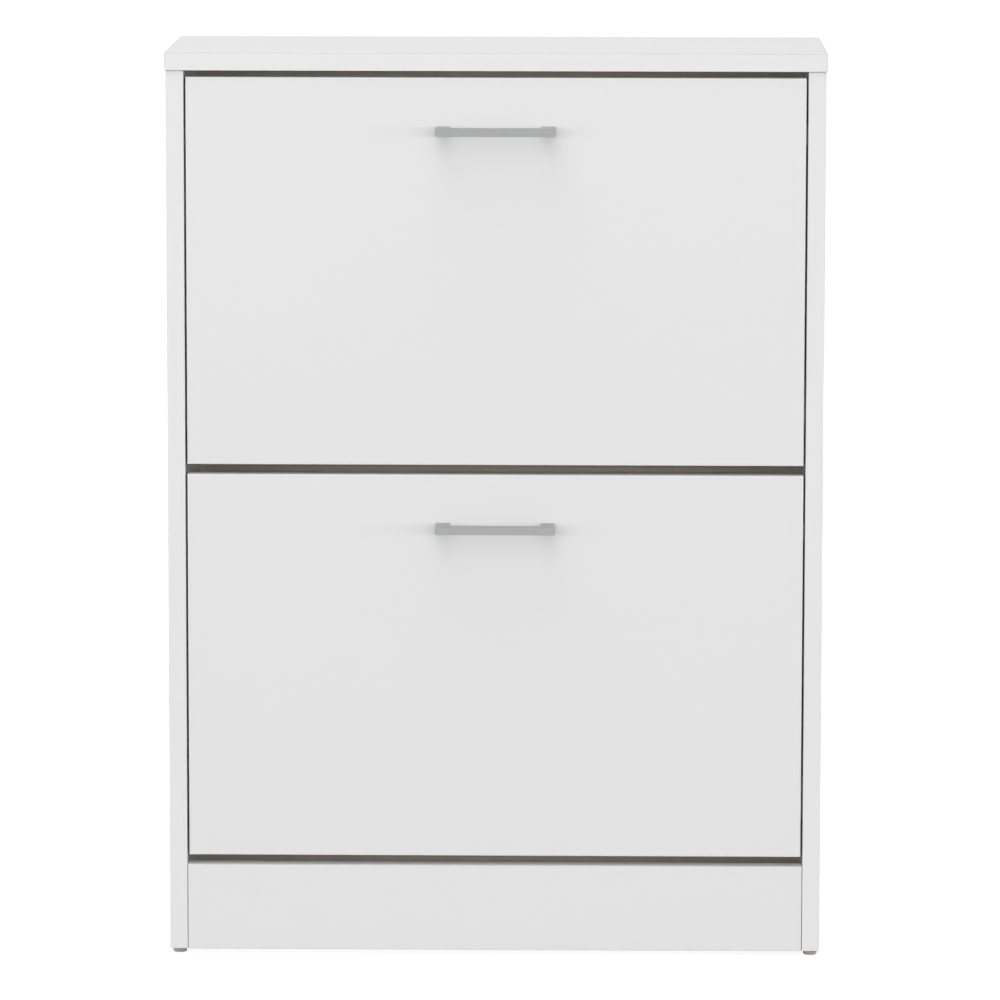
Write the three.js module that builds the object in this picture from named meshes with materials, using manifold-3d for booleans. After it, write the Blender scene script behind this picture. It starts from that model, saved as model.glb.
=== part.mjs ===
// White shoe cabinet with two tilt-down flaps, each carrying a rack for two rows of shoes.
// Millimetres, +Z up, the front faces -Y, +X is the right-hand side seen from the front.
// The origin is on the floor, in the middle of the cabinet's width and depth, handles included.

import * as THREE from "three";
import { mergeVertices } from "three/addons/utils/BufferGeometryUtils.js";
import Module from "manifold-3d";

const wasm = await Module();
wasm.setup();

// ---- Driving dimensions ----

// Boards
const BOARD = 16;
const GAP = 0.3;
const CARCASS_WIDTH = 600;
const CARCASS_DEPTH = 238;
const TOP_SIDE_OVERHANG = 1.25;
const TOP_FRONT_OVERHANG = 2;

// Heights, stacked from the floor
const GLIDE_HEIGHT = 5;
const PLINTH_HEIGHT = 80;
const PLINTH_GAP = 8.5;
const FLAP_HEIGHT = 355;
const FLAP_GAP = 9;
const TOP_GAP = 6;

// Flaps and their hinge axis, measured from a flap's lower front edge
const FLAP_RECESS = 0.5;
const FLAP_SIDE_GAP = 1.75;
const PIVOT_DEPTH = 26;
const PIVOT_HEIGHT = 40;
const OPEN_ANGLE = 50;

// Plinth, back and rails
const PLINTH_RECESS = 1;
const BACK_THICKNESS = 3;
const BACK_DEPTH = 214;
const GROOVE_DEPTH = 6;
const BACK_IN_GROOVE = 5.5;
const BACK_LOWER_EDGE = 14;
const BACK_JOINT_HEIGHT = 450;
const JOINER_SKIN = 1;
const JOINER_WEB = 1.2;
const JOINER_FLANGE = 7;
const RAIL_DEPTH = 218.6;
const RAIL_HEIGHT = 80;
const MIDDLE_RAIL_HEIGHT = 60;

// Handles
const HANDLE_LENGTH = 109;
const HANDLE_SPACING = 96;
const HANDLE_PROJECTION = 28;
const HANDLE_BAR_DEPTH = 9.5;
const HANDLE_BAR_HEIGHT = 7.4;
const HANDLE_FOOT = 13;
const HANDLE_INNER_RADIUS = 4;
const HANDLE_OUTER_RADIUS = 1.2;
const HANDLE_BELOW_TOP = 48;
const HANDLE_THREAD_DEPTH = 10;

// Racks
const RACK_PLATE = 3.6;
const RACK_PLATE_GAP = 3.4;
const RACK_LOWER_EDGE = 17;
const RACK_FRONT_TOP = 206;
const RACK_REAR_TOP = 222;
const RACK_REAR_MARGIN = 10;
const RACK_BOARD = 10;
const BOARD_CLEARANCE = 0.01;
const RIB_THICKNESS = 2;
const RIB_DEPTH = 7;
const FLANGE_WIDTH = 15;
const FLANGE_THICKNESS = 2.5;
const PLATE_CORNER = 3;
const WINDOW_MARGIN = 11.5;
const WINDOW_RADIUS = 6;
const WINDOW_FRONT = 26;
const FRONT_WINDOWS = [[84, 136], [146, 192]];
const REAR_WINDOWS = [[46, 112], [122, 196]];

// Pivot brackets, stops, glides
const BRACKET_THICKNESS = 2.6;
const BRACKET_RADIUS = 9;
const PIVOT_PIN_RADIUS = 4;
const GUIDE_PIN_RADIUS = 3;
const GUIDE_DISTANCE = 30;
const GUIDE_ANGLE = 75;
const PIN_PROUD = 0.6;
const PEG_RADIUS = 4;
const PEG_LENGTH = 9;
const STOP_SIZE = new THREE.Vector3(13.4, 17, 18);
const STOP_BELOW_TOP = 53;
const STOP_PEG_RADIUS = 2.5;
const GLIDE_RADIUS = 6.4;
const GLIDE_INSET = 13;
const GLIDE_CHAMFER = 0.9;
const GLIDE_PEG_RADIUS = 2;
const GLIDE_PEG_LENGTH = 12;

// Cam locks
const CAM_RADIUS = 7.5;
const CAM_DEPTH = 12;
const CAM_FROM_JOINT = 34;
const CAM_BOLT_RADIUS = 3;
const CAM_THREAD_RADIUS = 2.5;
const CAM_THREAD_LENGTH = 11;
const TOP_CAM_FRONT = 37;
const TOP_CAM_REAR = 180;

// Screws
const SCREW_RADIUS = 2;
const SCREW_HEAD_RADIUS = 4;
const SCREW_HEAD_HEIGHT = 2.4;
const PLATE_SCREW_LENGTH = 13;
const PLATE_SCREW_HEIGHTS = { lower: 46, top: 186 };

// Facets of a circle and of a curve, and how far cutters and joined pieces pass a shared face
const ROUND = 16;
const CURVE = 3;
const OVERRUN = 1;

// ---- Derived positions ----

const INNER_X = CARCASS_WIDTH / 2 - BOARD;
const DEPTH_OVERALL = HANDLE_PROJECTION - FLAP_RECESS + CARCASS_DEPTH;
const FRONT_Y = HANDLE_PROJECTION - FLAP_RECESS - DEPTH_OVERALL / 2;
const PLINTH_TOP = GLIDE_HEIGHT + PLINTH_HEIGHT;
const LOWER_FLAP_Z = PLINTH_TOP + PLINTH_GAP;
const UPPER_FLAP_Z = LOWER_FLAP_Z + FLAP_HEIGHT + FLAP_GAP;
const TOP_Z = UPPER_FLAP_Z + FLAP_HEIGHT + TOP_GAP;
const FLAP_WIDTH = 2 * (INNER_X - FLAP_SIDE_GAP);
const RACK_OUTER_X = INNER_X - RACK_PLATE_GAP;
const RACK_INNER_X = RACK_OUTER_X - RACK_PLATE;
const RACK_FRONT = BOARD + GAP;
const BRACKET_INNER_X = INNER_X - GAP - BRACKET_THICKNESS;
const SIDES = { left: -1, right: 1 };

// Centre lines of the rack's boards, as (depth, height) from a flap's lower front edge
const RACK_BOARDS = {
  base: { from: [RACK_FRONT + FLANGE_THICKNESS + GAP, 27], to: [120.5, 27] },
  divider: { from: [64, 34.9], to: [99, 205] },
  rear_board: { from: [126, 20.5], to: [187, 215] },
};

// ---- Materials ----

const material = (color, roughness, metalness = 0) =>
  new THREE.MeshStandardMaterial({ color, roughness, metalness });

const WHITE_BOARD = material(0xf0f0ee, 0.45);
const BACK_BOARD = material(0xe9e8e4, 0.6);
const RACK_BOARD_WHITE = material(0xecebe7, 0.55);
const HANDLE_SILVER = material(0xb4b4b2, 0.35, 0.9);
const PALE_PLASTIC = material(0xd9d8d3, 0.5);
const JOINER_PLASTIC = material(0xe4e4e0, 0.45);
const GLIDE_PLASTIC = material(0xa39b91, 0.6);
const ZINC = material(0xb9b7b0, 0.35, 0.9);

// ---- Solid modelling helpers ----

// A closed geometry as a solid that can be joined and cut
function solidOf(geometry) {
  const bare = geometry.clone();
  bare.deleteAttribute("normal");
  bare.deleteAttribute("uv");
  const merged = mergeVertices(bare);
  const mesh = new wasm.Mesh({
    numProp: 3,
    vertProperties: merged.attributes.position.array,
    triVerts: Uint32Array.from(merged.index.array),
  });
  return new wasm.Manifold(mesh);
}

function geometryOf(solid) {
  const mesh = solid.getMesh();
  const geometry = new THREE.BufferGeometry();
  geometry.setAttribute("position", new THREE.BufferAttribute(mesh.vertProperties, 3));
  geometry.setIndex(new THREE.BufferAttribute(mesh.triVerts, 1));
  geometry.computeVertexNormals();
  return geometry;
}

const joined = (pieces) =>
  geometryOf(pieces.map(solidOf).reduce((whole, piece) => whole.add(piece)));

const cut = (base, tools) =>
  geometryOf(tools.map(solidOf).reduce((whole, tool) => whole.subtract(tool), solidOf(base)));

// A box between two values on each axis, given in either order
function box([x0, x1], [y0, y1], [z0, z1]) {
  const geometry = new THREE.BoxGeometry(Math.abs(x1 - x0), Math.abs(y1 - y0), Math.abs(z1 - z0));
  return geometry.translate((x0 + x1) / 2, (y0 + y1) / 2, (z0 + z1) / 2);
}

// Cylinders along each axis, between two values on that axis
function cylinderX(radius, [x0, x1], y, z) {
  const geometry = new THREE.CylinderGeometry(radius, radius, Math.abs(x1 - x0), ROUND);
  return geometry.rotateZ(Math.PI / 2).translate((x0 + x1) / 2, y, z);
}

function cylinderY(radius, x, [y0, y1], z) {
  const geometry = new THREE.CylinderGeometry(radius, radius, Math.abs(y1 - y0), ROUND);
  return geometry.translate(x, (y0 + y1) / 2, z);
}

function cylinderZ(radius, x, y, [z0, z1]) {
  const geometry = new THREE.CylinderGeometry(radius, radius, Math.abs(z1 - z0), ROUND);
  return geometry.rotateX(Math.PI / 2).translate(x, y, (z0 + z1) / 2);
}

// A shape drawn with depth across and height up, made solid between two values of X
function profileX(shape, x0, x1, curveSegments = CURVE) {
  const depth = Math.abs(x1 - x0);
  const geometry = new THREE.ExtrudeGeometry(shape, { depth, bevelEnabled: false, curveSegments });
  const turn = new THREE.Matrix4().set(0, 0, 1, Math.min(x0, x1), 1, 0, 0, 0, 0, 1, 0, 0, 0, 0, 0, 1);
  return geometry.applyMatrix4(turn);
}

// A polygon whose corners are rounded
function roundedPolygon(points, radius) {
  const corners = points.map(([a, b]) => new THREE.Vector2(a, b));
  const shape = new THREE.Shape();
  corners.forEach((corner, i) => {
    const before = corners.at(i - 1).clone().sub(corner).setLength(radius).add(corner);
    const after = corners[(i + 1) % corners.length].clone().sub(corner).setLength(radius).add(corner);
    if (i === 0) shape.moveTo(before.x, before.y);
    else shape.lineTo(before.x, before.y);
    shape.quadraticCurveTo(corner.x, corner.y, after.x, after.y);
  });
  shape.closePath();
  return shape;
}

function place(group, name, geometry, look, position = [0, 0, 0]) {
  const mesh = new THREE.Mesh(geometry, look.clone());
  mesh.name = name;
  mesh.position.set(...position);
  group.add(mesh);
  return mesh;
}

// A board between two values on each axis, with cuts given in the same frame
function board(group, name, x, y, z, look, cuts = []) {
  const centre = [x, y, z].map(([low, high]) => (low + high) / 2);
  const toCentre = (geometry) => geometry.clone().translate(...centre.map((c) => -c));
  const plain = toCentre(box(x, y, z));
  const geometry = cuts.length > 0 ? cut(plain, cuts.map(toCentre)) : plain;
  return place(group, name, geometry, look, centre);
}

// ---- Cam locks: a cam in a round pocket and a bolt across the joint ----

// The bolt runs along +X from the cam to the thread, and the cam's face looks along +Y
function camLock(clearance) {
  const camFace = BOARD / 2;
  return joined([
    cylinderY(CAM_RADIUS + clearance, -CAM_FROM_JOINT, [camFace - CAM_DEPTH - clearance, camFace], 0),
    cylinderX(CAM_BOLT_RADIUS + clearance, [-CAM_FROM_JOINT, 0], 0, 0),
    cylinderX(CAM_THREAD_RADIUS + clearance, [-OVERRUN, CAM_THREAD_LENGTH + clearance], 0, 0),
  ]);
}

// The pocket opens past the board's face, so that the cut leaves no skin over it
const camPocket = joined([
  camLock(GAP),
  cylinderY(CAM_RADIUS + GAP, -CAM_FROM_JOINT, [0, BOARD], 0),
]);

const camFrame = (position, boltAxis, faceAxis) =>
  new THREE.Matrix4()
    .makeBasis(boltAxis, faceAxis, boltAxis.clone().cross(faceAxis))
    .setPosition(...position);

const X = new THREE.Vector3(1, 0, 0);
const Y = new THREE.Vector3(0, 1, 0);
const Z = new THREE.Vector3(0, 0, 1);

function camJoints() {
  const joints = {};
  const railCentre = RAIL_DEPTH + BOARD / 2;
  const boards = {
    plinth: [PLINTH_RECESS + BOARD / 2, GLIDE_HEIGHT + PLINTH_HEIGHT / 2],
    bottom_rail: [railCentre, GLIDE_HEIGHT + RAIL_HEIGHT / 2],
    middle_rail: [railCentre, BACK_JOINT_HEIGHT],
    top_rail: [railCentre, TOP_Z - GAP - RAIL_HEIGHT / 2],
  };
  for (const [side, sign] of Object.entries(SIDES)) {
    const outward = X.clone().multiplyScalar(sign);
    const panelCentre = sign * (INNER_X + BOARD / 2);
    const inward = outward.clone().negate();
    joints[`top_front_${side}`] = camFrame([panelCentre, TOP_CAM_FRONT, TOP_Z], Z, inward);
    joints[`top_rear_${side}`] = camFrame([panelCentre, TOP_CAM_REAR, TOP_Z], Z, inward);
    for (const [name, [depth, height]] of Object.entries(boards)) {
      joints[`${name}_${side}`] = camFrame([sign * INNER_X, depth, height], outward, Y);
    }
  }
  return joints;
}

const CAM_JOINTS = camJoints();

const camPockets = (...names) =>
  names.map((name) => camPocket.clone().applyMatrix4(CAM_JOINTS[name]));

function camLocks(group) {
  for (const [name, frame] of Object.entries(CAM_JOINTS)) {
    const mesh = place(group, `${name}_cam_lock`, camLock(0), ZINC);
    frame.decompose(mesh.position, mesh.quaternion, mesh.scale);
  }
}

// ---- Carcass ----

const FLAP_LEVELS = { lower: LOWER_FLAP_Z, upper: UPPER_FLAP_Z };
const GLIDE_DEPTHS = { front: GLIDE_INSET, rear: CARCASS_DEPTH - GLIDE_INSET };
const PIVOT_Y = FLAP_RECESS + PIVOT_DEPTH;
const GUIDE_Y = GUIDE_DISTANCE * Math.cos(THREE.MathUtils.degToRad(GUIDE_ANGLE));
const GUIDE_Z = GUIDE_DISTANCE * Math.sin(THREE.MathUtils.degToRad(GUIDE_ANGLE));
const STOP_Y = FLAP_RECESS + BOARD + GAP + STOP_SIZE.y / 2;

const backGroove = () => [BACK_DEPTH - GAP, BACK_DEPTH + BACK_THICKNESS + GAP];

function topPanel(group) {
  const halfWidth = CARCASS_WIDTH / 2 + TOP_SIDE_OVERHANG;
  const grooveHalf = INNER_X + GROOVE_DEPTH;
  const cuts = [
    box([-grooveHalf, grooveHalf], backGroove(), [TOP_Z - OVERRUN, TOP_Z + GROOVE_DEPTH]),
    ...camPockets("top_front_left", "top_rear_left", "top_front_right", "top_rear_right"),
  ];
  const y = [-TOP_FRONT_OVERHANG, CARCASS_DEPTH];
  board(group, "top_panel", [-halfWidth, halfWidth], y, [TOP_Z, TOP_Z + BOARD], WHITE_BOARD, cuts);
}

function sidePanel(group, side, sign) {
  const pegX = [sign * (INNER_X - OVERRUN), sign * (INNER_X + PEG_LENGTH + GAP)];
  const fittings = Object.values(FLAP_LEVELS).flatMap((level) => [
    cylinderX(PEG_RADIUS + GAP, pegX, PIVOT_Y, level + PIVOT_HEIGHT),
    cylinderX(PEG_RADIUS + GAP, pegX, PIVOT_Y + GUIDE_Y, level + PIVOT_HEIGHT + GUIDE_Z),
    cylinderX(STOP_PEG_RADIUS + GAP, pegX, STOP_Y, level + FLAP_HEIGHT - STOP_BELOW_TOP),
  ]);
  const glidePegZ = [0, GLIDE_HEIGHT + GLIDE_PEG_LENGTH + GAP];
  const glideX = sign * (INNER_X + BOARD / 2);
  const glides = Object.values(GLIDE_DEPTHS).map((depth) =>
    cylinderZ(GLIDE_PEG_RADIUS + GAP, glideX, depth, glidePegZ));
  const grooveX = [sign * (INNER_X - OVERRUN), sign * (INNER_X + GROOVE_DEPTH)];
  const groove = box(grooveX, backGroove(), [0, TOP_Z + OVERRUN]);
  const joints = ["top_front", "top_rear", "plinth", "bottom_rail", "middle_rail", "top_rail"];
  const cams = camPockets(...joints.map((joint) => `${joint}_${side}`));
  const x = [sign * INNER_X, sign * CARCASS_WIDTH / 2];
  const z = [GLIDE_HEIGHT + GAP, TOP_Z - GAP];
  board(group, `${side}_side_panel`, x, [0, CARCASS_DEPTH], z, WHITE_BOARD,
    [...fittings, ...glides, groove, ...cams]);
}

function crossBoard(group, name, joint, depth, [bottom, top]) {
  const x = [-INNER_X + GAP, INNER_X - GAP];
  const cuts = camPockets(`${joint}_left`, `${joint}_right`);
  board(group, name, x, [depth, depth + BOARD], [bottom, top], WHITE_BOARD, cuts);
}

function crossBoards(group) {
  const halfMiddle = MIDDLE_RAIL_HEIGHT / 2;
  const middle = [BACK_JOINT_HEIGHT - halfMiddle, BACK_JOINT_HEIGHT + halfMiddle];
  const low = [GLIDE_HEIGHT, PLINTH_TOP];
  const high = [TOP_Z - GAP - RAIL_HEIGHT, TOP_Z - GAP];
  crossBoard(group, "plinth_board", "plinth", PLINTH_RECESS, low);
  crossBoard(group, "bottom_rear_rail", "bottom_rail", RAIL_DEPTH, low);
  crossBoard(group, "middle_rear_rail", "middle_rail", RAIL_DEPTH, middle);
  crossBoard(group, "top_rear_rail", "top_rail", RAIL_DEPTH, high);
}

function backPanels(group) {
  const x = [-INNER_X - BACK_IN_GROOVE, INNER_X + BACK_IN_GROOVE];
  const y = [BACK_DEPTH, BACK_DEPTH + BACK_THICKNESS];
  const halfWeb = JOINER_WEB / 2 + GAP;
  const joint = BACK_JOINT_HEIGHT;
  board(group, "lower_back_panel", x, y, [BACK_LOWER_EDGE, joint - halfWeb], BACK_BOARD);
  board(group, "upper_back_panel", x, y, [joint + halfWeb, TOP_Z + BACK_IN_GROOVE], BACK_BOARD);
}

// An H profile: a web between the two panels' edges and a flange on each face
function backPanelJoiner(group) {
  const x = [-INNER_X + GAP, INNER_X - GAP];
  const [front, rear] = backGroove();
  const web = [-JOINER_WEB / 2, JOINER_WEB / 2];
  const flange = [-JOINER_FLANGE, JOINER_FLANGE];
  const profile = joined([
    box(x, [front - JOINER_SKIN, front], flange),
    box(x, [front - JOINER_SKIN, rear + JOINER_SKIN], web),
    box(x, [rear, rear + JOINER_SKIN], flange),
  ]);
  place(group, "back_panel_joiner", profile, JOINER_PLASTIC, [0, 0, BACK_JOINT_HEIGHT]);
}

// A round foot with a chamfered sole and a peg for the side panel's lower edge
function glideGeometry() {
  const outline = [
    [0, 0],
    [GLIDE_RADIUS - GLIDE_CHAMFER, 0],
    [GLIDE_RADIUS, GLIDE_CHAMFER],
    [GLIDE_RADIUS, GLIDE_HEIGHT],
    [GLIDE_PEG_RADIUS, GLIDE_HEIGHT],
    [GLIDE_PEG_RADIUS, GLIDE_HEIGHT + GLIDE_PEG_LENGTH],
    [0, GLIDE_HEIGHT + GLIDE_PEG_LENGTH],
  ].map(([radius, height]) => new THREE.Vector2(radius, height));
  return new THREE.LatheGeometry(outline, ROUND).rotateX(Math.PI / 2);
}

function glides(group) {
  for (const [end, depth] of Object.entries(GLIDE_DEPTHS)) {
    for (const [side, sign] of Object.entries(SIDES)) {
      const position = [sign * (INNER_X + BOARD / 2), depth, 0];
      place(group, `${end}_${side}_glide`, glideGeometry(), GLIDE_PLASTIC, position);
    }
  }
}

// Origin on the pivot axis; the plate runs from the pivot pin to the guide pin
function pivotBracket(sign) {
  const angle = THREE.MathUtils.degToRad(GUIDE_ANGLE);
  const plate = new THREE.Shape();
  plate.absarc(0, 0, BRACKET_RADIUS, angle + Math.PI / 2, angle + 1.5 * Math.PI, false);
  plate.absarc(GUIDE_Y, GUIDE_Z, BRACKET_RADIUS, angle - Math.PI / 2, angle + Math.PI / 2, false);
  plate.closePath();
  const face = sign * (INNER_X - GAP);
  const inner = sign * BRACKET_INNER_X;
  const tip = sign * (RACK_INNER_X - PIN_PROUD);
  const peg = [face - sign * OVERRUN, sign * (INNER_X + PEG_LENGTH)];
  return joined([
    profileX(plate, inner, face, ROUND / 2),
    cylinderX(PIVOT_PIN_RADIUS, [inner + sign * OVERRUN, tip], 0, 0),
    cylinderX(GUIDE_PIN_RADIUS, [inner + sign * OVERRUN, tip], GUIDE_Y, GUIDE_Z),
    cylinderX(PEG_RADIUS, peg, 0, 0),
    cylinderX(PEG_RADIUS, peg, GUIDE_Y, GUIDE_Z),
  ]);
}

// A block behind the closed flap, with a sloping rear and a peg for the side panel
function flapStop(sign) {
  const { x: width, y: depth, z: height } = STOP_SIZE;
  const block = new THREE.Shape();
  block.moveTo(-depth / 2, -height / 2);
  block.lineTo(0, -height / 2);
  block.lineTo(depth / 2, -height / 4);
  block.lineTo(depth / 2, height / 2);
  block.lineTo(-depth / 2, height / 2);
  block.closePath();
  const face = sign * (INNER_X - GAP);
  return joined([
    profileX(block, face - sign * width, face),
    cylinderX(STOP_PEG_RADIUS, [face - sign * OVERRUN, sign * (INNER_X + PEG_LENGTH)], 0, 0),
  ]);
}

function flapFittings(group) {
  for (const [level, height] of Object.entries(FLAP_LEVELS)) {
    for (const [side, sign] of Object.entries(SIDES)) {
      const pivot = [0, PIVOT_Y, height + PIVOT_HEIGHT];
      const stop = [0, STOP_Y, height + FLAP_HEIGHT - STOP_BELOW_TOP];
      place(group, `${level}_${side}_pivot_bracket`, pivotBracket(sign), PALE_PLASTIC, pivot);
      place(group, `${level}_${side}_flap_stop`, flapStop(sign), PALE_PLASTIC, stop);
    }
  }
}

function carcass() {
  const group = new THREE.Group();
  group.name = "carcass";
  topPanel(group);
  for (const [side, sign] of Object.entries(SIDES)) sidePanel(group, side, sign);
  crossBoards(group);
  backPanels(group);
  backPanelJoiner(group);
  glides(group);
  flapFittings(group);
  camLocks(group);
  return group;
}

// ---- Flaps, in a frame at the flap's lower front edge ----

const HANDLE_Z = FLAP_HEIGHT - HANDLE_BELOW_TOP;
const FLANGE_CENTRE_X = RACK_INNER_X - FLANGE_WIDTH / 2;

function flapPanel(group, level) {
  const cuts = [];
  for (const sign of Object.values(SIDES)) {
    const through = [-OVERRUN, BOARD + OVERRUN];
    cuts.push(cylinderY(SCREW_RADIUS + GAP, sign * HANDLE_SPACING / 2, through, HANDLE_Z));
    for (const height of Object.values(PLATE_SCREW_HEIGHTS)) {
      const hole = [BOARD + FLANGE_THICKNESS - PLATE_SCREW_LENGTH, BOARD + OVERRUN];
      cuts.push(cylinderY(SCREW_RADIUS + GAP, sign * FLANGE_CENTRE_X, hole, height));
    }
  }
  const x = [-FLAP_WIDTH / 2, FLAP_WIDTH / 2];
  board(group, `${level}_flap_panel`, x, [0, BOARD], [0, FLAP_HEIGHT], WHITE_BOARD, cuts);
}

// A flat bow with square feet, seen from above: its inner corners are rounded
function handleOutline() {
  const half = HANDLE_LENGTH / 2;
  const inner = half - HANDLE_FOOT;
  const front = -HANDLE_PROJECTION;
  const innerFront = front + HANDLE_BAR_DEPTH;
  const rear = -GAP;
  const r = HANDLE_INNER_RADIUS;
  const edge = HANDLE_OUTER_RADIUS;
  const shape = new THREE.Shape();
  shape.moveTo(-half, rear);
  shape.lineTo(-half, front + edge);
  shape.quadraticCurveTo(-half, front, -half + edge, front);
  shape.lineTo(half - edge, front);
  shape.quadraticCurveTo(half, front, half, front + edge);
  shape.lineTo(half, rear);
  shape.lineTo(inner, rear);
  shape.lineTo(inner, innerFront + r);
  shape.quadraticCurveTo(inner, innerFront, inner - r, innerFront);
  shape.lineTo(-inner + r, innerFront);
  shape.quadraticCurveTo(-inner, innerFront, -inner, innerFront + r);
  shape.lineTo(-inner, rear);
  shape.closePath();
  return shape;
}

function handle(group, level) {
  const depth = HANDLE_BAR_HEIGHT;
  const extrusion = { depth, bevelEnabled: false, curveSegments: CURVE };
  const bow = new THREE.ExtrudeGeometry(handleOutline(), extrusion);
  bow.translate(0, 0, -depth / 2);
  const threads = Object.values(SIDES).map((sign) =>
    cylinderY(SCREW_RADIUS + GAP, sign * HANDLE_SPACING / 2, [-HANDLE_THREAD_DEPTH - GAP, OVERRUN], 0));
  place(group, `${level}_handle`, cut(bow, threads), HANDLE_SILVER, [0, 0, HANDLE_Z]);
}

// A pan-head screw along Y, its head's underside at the origin and its tip forward of it
function screw(length) {
  return joined([
    cylinderY(SCREW_HEAD_RADIUS, 0, [0, SCREW_HEAD_HEIGHT], 0),
    cylinderY(SCREW_RADIUS, 0, [-length, OVERRUN], 0),
  ]);
}

function screws(group, level) {
  const handleScrew = BOARD + GAP + HANDLE_THREAD_DEPTH;
  const onFlange = RACK_FRONT + FLANGE_THICKNESS + GAP;
  for (const [side, sign] of Object.entries(SIDES)) {
    const atHandle = [sign * HANDLE_SPACING / 2, BOARD + GAP, HANDLE_Z];
    place(group, `${level}_${side}_handle_screw`, screw(handleScrew), ZINC, atHandle);
    for (const [row, height] of Object.entries(PLATE_SCREW_HEIGHTS)) {
      const atFlange = [sign * FLANGE_CENTRE_X, onFlange, height];
      place(group, `${level}_${side}_${row}_rack_screw`, screw(PLATE_SCREW_LENGTH), ZINC, atFlange);
    }
  }
}

// A bar along a rack board's centre line, offset square to it, between two values of X
function alongBoard({ from, to }, [x0, x1], thickness, offset = 0, extra = 0) {
  const start = new THREE.Vector2(...from);
  const run = new THREE.Vector2(...to).sub(start);
  const across = [offset - thickness / 2, offset + thickness / 2];
  const bar = box([x0, x1], [-extra, run.length() + extra], across);
  return bar.rotateX(run.angle()).translate(0, start.x, start.y);
}

function rackBoards(group, level) {
  const x = [-RACK_INNER_X + GAP, RACK_INNER_X - GAP];
  for (const [name, line] of Object.entries(RACK_BOARDS)) {
    const middle = [0, 1].map((axis) => (line.from[axis] + line.to[axis]) / 2);
    const geometry = alongBoard(line, x, RACK_BOARD).translate(0, -middle[0], -middle[1]);
    place(group, `${level}_rack_${name}`, geometry, RACK_BOARD_WHITE, [0, ...middle]);
  }
}

// Depth of a slanting board's centre line at a height
function depthAt({ from, to }, height) {
  return from[0] + ((height - from[1]) / (to[1] - from[1])) * (to[0] - from[0]);
}

// A four-cornered window between two lines that run up the plate
function rackWindow(low, high, frontAt, rearAt) {
  const points = [[frontAt(low), low], [rearAt(low), low], [rearAt(high), high], [frontAt(high), high]];
  return profileX(roundedPolygon(points, WINDOW_RADIUS), -CARCASS_WIDTH, CARCASS_WIDTH);
}

function rackWindows() {
  const flange = () => WINDOW_FRONT;
  const dividerFront = (height) => depthAt(RACK_BOARDS.divider, height) - WINDOW_MARGIN;
  const dividerRear = (height) => depthAt(RACK_BOARDS.divider, height) + WINDOW_MARGIN;
  const rearBoard = (height) => depthAt(RACK_BOARDS.rear_board, height) - WINDOW_MARGIN;
  return [
    ...FRONT_WINDOWS.map(([low, high]) => rackWindow(low, high, flange, dividerFront)),
    ...REAR_WINDOWS.map(([low, high]) => rackWindow(low, high, dividerRear, rearBoard)),
  ];
}

// The arc that the fixed guide pin follows as the flap opens; its ends stop the flap
function guideSlot() {
  const start = THREE.MathUtils.degToRad(GUIDE_ANGLE - OPEN_ANGLE);
  const end = THREE.MathUtils.degToRad(GUIDE_ANGLE);
  const radius = GUIDE_PIN_RADIUS + GAP;
  const at = (angle) => [
    PIVOT_DEPTH + GUIDE_DISTANCE * Math.cos(angle),
    PIVOT_HEIGHT + GUIDE_DISTANCE * Math.sin(angle),
  ];
  const slot = new THREE.Shape();
  slot.absarc(PIVOT_DEPTH, PIVOT_HEIGHT, GUIDE_DISTANCE + radius, start, end, false);
  slot.absarc(...at(end), radius, end, end + Math.PI, false);
  slot.absarc(PIVOT_DEPTH, PIVOT_HEIGHT, GUIDE_DISTANCE - radius, end, start, true);
  slot.absarc(...at(start), radius, start + Math.PI, start + 2 * Math.PI, false);
  return profileX(slot, -CARCASS_WIDTH, CARCASS_WIDTH, ROUND / 2);
}

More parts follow.
